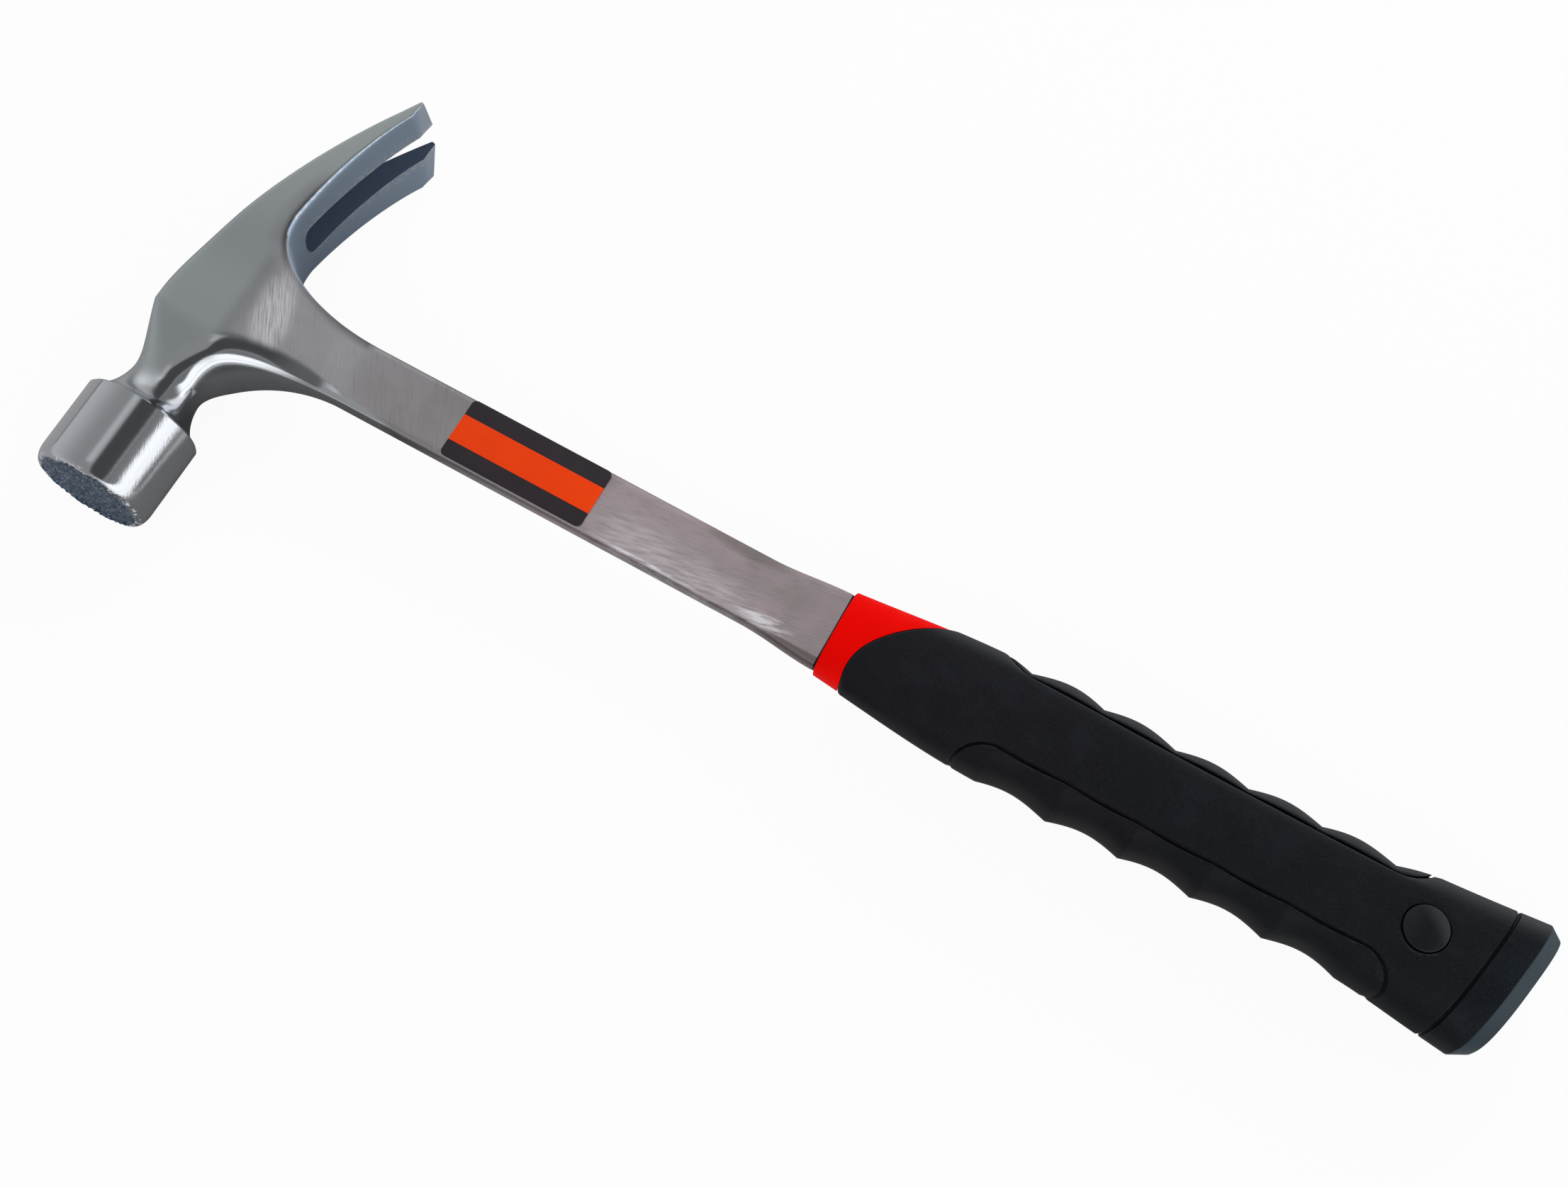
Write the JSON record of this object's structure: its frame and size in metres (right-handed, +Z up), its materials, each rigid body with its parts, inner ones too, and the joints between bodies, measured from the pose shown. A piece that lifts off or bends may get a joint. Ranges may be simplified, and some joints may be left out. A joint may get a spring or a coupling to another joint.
{
  "type": "nail hammer",
  "caption": "One-piece steel rip-claw hammer: round milled-face bell, flat cheeks, slotted curved claw, flat shank, and a two-colour scalloped grip with a canted butt.",
  "frame": {"origin": "under the middle of the hammer as it lies on its side, at the level of the lowest claw corner", "axes": "+X from the head to the butt, +Y from the striking face to the claw tip, +Z up, square to the cheeks"},
  "size_m": [0.409, 0.1412, 0.0383],
  "materials": {
    "forged_steel": "forged steel, mirror-polished bell and neck, satin cheeks, brushed shank",
    "red_moulding": "moulded red plastic, semi-matte",
    "black_jacket": "matte black soft moulding with a fine grain",
    "black_pad": "matte black soft moulding",
    "black_cap": "matte black moulding with a slight sheen",
    "pin_steel": "plain ground steel",
    "plug_plastic": "semi-gloss black plastic",
    "label_film": "printed film sticker with plain black and orange bands"
  },
  "bodies": {
    "root": {"forged_hammer": "forged_steel", "grip_core": "red_moulding", "grip_jacket": "black_jacket", "front_finger_pad": "black_pad", "rear_finger_pad": "black_pad", "butt_cap": "black_cap", "tang_pin": "pin_steel", "plug_upper": "plug_plastic", "plug_lower": "plug_plastic", "shank_label": "label_film"}
  },
  "joints": []
}
